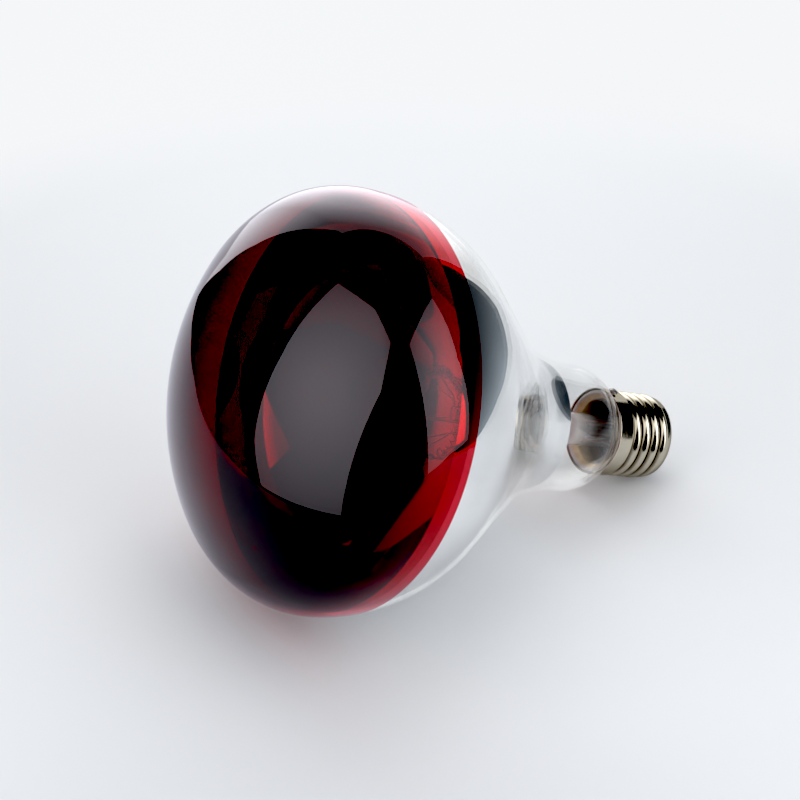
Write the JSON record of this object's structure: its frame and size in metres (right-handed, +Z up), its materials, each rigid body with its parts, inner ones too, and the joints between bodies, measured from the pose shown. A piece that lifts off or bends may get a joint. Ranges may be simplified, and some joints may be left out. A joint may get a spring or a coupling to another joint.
{
  "type": "infrared reflector heat lamp",
  "caption": "Infrared heat lamp: reflector bulb with a ruby-coated front, silvered funnel, clear neck, stem with tungsten filament, and an E27 screw cap.",
  "frame": {"origin": "centre of the bottom of the bounding box: the lamp lies on z = 0, on the glass behind its rim and on the end of its cap", "axes": "+Z up; the lamp's own axis lies in the YZ plane, the ruby front faces -Y and up, the cap points to +Y and slopes down by 24.2 degrees"},
  "size_m": [0.125, 0.1604, 0.1208],
  "materials": {
    "clear_glass": "clear polished hard glass",
    "red_glass": "glossy ruby stain on glass",
    "mirror_film": "vapour-deposited aluminium mirror",
    "nickel_plate": "bright nickel plating",
    "nickel_wire": "drawn nickel wire",
    "copper_wire": "drawn copper-clad wire",
    "molybdenum": "drawn molybdenum wire",
    "tungsten": "dull coiled tungsten wire",
    "cement_tan": "matt tan basing cement",
    "black_glass": "fused black glass, glossy",
    "solder": "solidified tin solder"
  },
  "bodies": {
    "root": {"glass_envelope": "clear_glass", "red_front_coating": "red_glass", "mirror_coating": "mirror_film", "stem_flare": "clear_glass", "exhaust_tube": "clear_glass", "arbor_rod": "clear_glass", "arbor_button": "clear_glass", "support_wire_1": "molybdenum", "support_wire_2": "molybdenum", "support_wire_3": "molybdenum", "support_wire_4": "molybdenum", "filament": "tungsten", "filament_clamp_a": "nickel_wire", "filament_clamp_b": "nickel_wire", "inner_lead_a": "nickel_wire", "inner_lead_b": "nickel_wire", "seal_wire_a": "copper_wire", "seal_wire_b": "copper_wire", "outer_lead_contact": "copper_wire", "outer_lead_side": "copper_wire", "screw_shell": "nickel_plate", "basing_cement": "cement_tan", "cap_insulator": "black_glass", "contact_eyelet": "nickel_plate", "contact_solder": "solder", "side_solder": "solder"}
  },
  "joints": []
}
